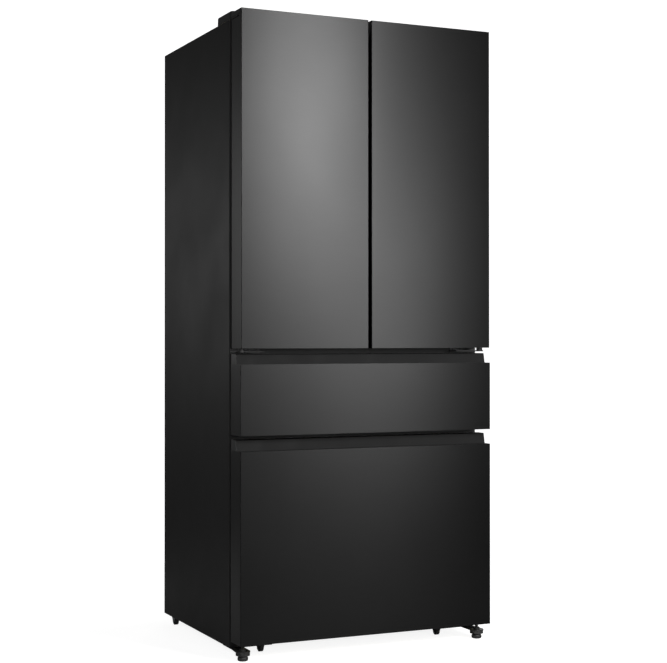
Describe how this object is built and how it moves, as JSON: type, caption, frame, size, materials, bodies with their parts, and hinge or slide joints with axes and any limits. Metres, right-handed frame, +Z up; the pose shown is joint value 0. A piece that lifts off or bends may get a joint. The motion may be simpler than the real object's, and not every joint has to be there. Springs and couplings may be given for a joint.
{
  "type": "french door refrigerator",
  "caption": "Free-standing refrigerator with side-hinged fridge doors over a middle drawer and a bottom freezer drawer, gripped by full-width recesses.",
  "frame": {"origin": "on the floor, at the middle of the whole footprint", "axes": "+X to the right as seen from the front, +Y from the front to the back, +Z up"},
  "size_m": [0.794, 0.697, 1.817],
  "materials": {
    "side_steel": "satin black paint on sheet steel",
    "front_steel": "fine brushed black steel with a satin clear coat",
    "bare_steel": "zinc plated sheet",
    "bracket_steel": "black powder coat",
    "foam": "cut polyurethane foam",
    "liner_plastic": "glossy white moulding",
    "trim_plastic": "pale grey moulding",
    "clear_plastic": "clear moulding",
    "shelf_glass": "toughened glass",
    "dark_plastic": "fine grained black moulding",
    "gasket": "soft grey vinyl",
    "slide_steel": "zinc plated slide",
    "coil_aluminium": "mill finish",
    "compressor_paint": "gloss black enamel",
    "lens": "frosted"
  },
  "bodies": {
    "cabinet": {"cabinet_shell": "side_steel", "rear_panel": "bare_steel", "base_pan": "bare_steel", "cabinet_insulation": "foam", "fridge_liner": "liner_plastic", "drawer_bay_liners": "liner_plastic", "glass_shelves": "shelf_glass", "shelf_trims": "trim_plastic", "air_duct_cover": "trim_plastic", "lamp_lens": "lens", "evaporator": "coil_aluminium", "evaporator_cover": "trim_plastic", "compressor": "compressor_paint", "condenser": "bracket_steel", "drip_tray": "trim_plastic", "machine_cover": "bare_steel", "mains_inlet": "dark_plastic", "door_hinges": "bracket_steel", "hinge_covers": "dark_plastic", "base_brackets": "bracket_steel", "mullion_guide": "trim_plastic", "outer_slides": "slide_steel", "cabinet_screws": "bare_steel"},
    "left_door": {"left_door_skin": "front_steel", "left_door_caps": "dark_plastic", "left_door_foam": "foam", "left_door_liner": "liner_plastic", "left_door_gasket": "gasket", "left_door_bins": "clear_plastic"},
    "right_door": {"right_door_skin": "front_steel", "right_door_caps": "dark_plastic", "right_door_foam": "foam", "right_door_liner": "liner_plastic", "right_door_gasket": "gasket", "right_door_bins": "clear_plastic"},
    "mullion": {"flip_mullion": "trim_plastic"},
    "middle_drawer": {"middle_drawer_skin": "front_steel", "middle_drawer_grip": "dark_plastic", "middle_drawer_foam": "foam", "middle_drawer_liner": "liner_plastic", "middle_drawer_gasket": "gasket", "middle_tub": "clear_plastic", "middle_drawer_runners": "slide_steel"},
    "middle_links": {"middle_slide_links": "slide_steel"},
    "bottom_drawer": {"bottom_drawer_skin": "front_steel", "bottom_drawer_grip": "dark_plastic", "bottom_drawer_foam": "foam", "bottom_drawer_liner": "liner_plastic", "bottom_drawer_gasket": "gasket", "bottom_tub": "clear_plastic", "bottom_drawer_runners": "slide_steel"},
    "bottom_links": {"bottom_slide_links": "slide_steel"},
    "tray": {"sliding_tray": "clear_plastic"},
    "left_crisper": {"left_crisper": "clear_plastic"},
    "right_crisper": {"right_crisper": "clear_plastic"},
    "left_foot": {"left_foot": "dark_plastic"},
    "right_foot": {"right_foot": "dark_plastic"},
    "front_rollers": {"front_rollers": "dark_plastic"},
    "rear_rollers": {"rear_rollers": "dark_plastic"},
    "evaporator_fan": {"evaporator_fan": "dark_plastic"}
  },
  "joints": [
    {"name": "left_door_hinge", "type": "hinge", "parent": "cabinet", "child": "left_door", "pos_m": [-0.3807, -0.3125, 0.868], "axis": [0, 0, -1], "range_deg": [0, 120]},
    {"name": "right_door_hinge", "type": "hinge", "parent": "cabinet", "child": "right_door", "pos_m": [0.3807, -0.3125, 0.868], "axis": [0, 0, 1], "range_deg": [0, 120]},
    {"name": "mullion_flip", "type": "hinge", "parent": "left_door", "child": "mullion", "pos_m": [-0.034, -0.2505, 1.307], "axis": [0, 0, -1], "range_deg": [0, 90]},
    {"name": "middle_drawer_slide", "type": "slide", "parent": "cabinet", "child": "middle_drawer", "axis": [0, -1, 0], "range_m": [0, 0.38]},
    {"name": "middle_link_slide", "type": "slide", "parent": "cabinet", "child": "middle_links", "axis": [0, -1, 0], "range_m": [0, 0.19]},
    {"name": "bottom_drawer_slide", "type": "slide", "parent": "cabinet", "child": "bottom_drawer", "axis": [0, -1, 0], "range_m": [0, 0.4]},
    {"name": "bottom_link_slide", "type": "slide", "parent": "cabinet", "child": "bottom_links", "axis": [0, -1, 0], "range_m": [0, 0.2]},
    {"name": "tray_slide", "type": "slide", "parent": "bottom_drawer", "child": "tray", "axis": [0, 1, 0], "range_m": [0, 0.2]},
    {"name": "left_crisper_slide", "type": "slide", "parent": "cabinet", "child": "left_crisper", "axis": [0, -1, 0], "range_m": [0, 0.22]},
    {"name": "right_crisper_slide", "type": "slide", "parent": "cabinet", "child": "right_crisper", "axis": [0, -1, 0], "range_m": [0, 0.22]},
    {"name": "left_foot_screw", "type": "slide", "parent": "cabinet", "child": "left_foot", "axis": [0, 0, -1], "range_m": [0, 0.012]},
    {"name": "right_foot_screw", "type": "slide", "parent": "cabinet", "child": "right_foot", "axis": [0, 0, -1], "range_m": [0, 0.012]},
    {"name": "front_roller_axle", "type": "hinge", "parent": "cabinet", "child": "front_rollers", "pos_m": [0, -0.2175, 0.013], "axis": [1, 0, 0], "continuous": true},
    {"name": "rear_roller_axle", "type": "hinge", "parent": "cabinet", "child": "rear_rollers", "pos_m": [0, 0.2645, 0.0135], "axis": [1, 0, 0], "continuous": true},
    {"name": "fan_shaft", "type": "hinge", "parent": "cabinet", "child": "evaporator_fan", "pos_m": [0, 0.2135, 0.529], "axis": [0, 1, 0], "continuous": true}
  ],
  "couplings": [
    {"joint": "middle_link_slide", "follows": "middle_drawer_slide", "ratio": 0.5},
    {"joint": "bottom_link_slide", "follows": "bottom_drawer_slide", "ratio": 0.5},
    {"joint": "left_crisper_slide", "follows": "left_door_hinge", "m_per_rad": 0.105},
    {"joint": "right_crisper_slide", "follows": "right_door_hinge", "m_per_rad": 0.105}
  ]
}
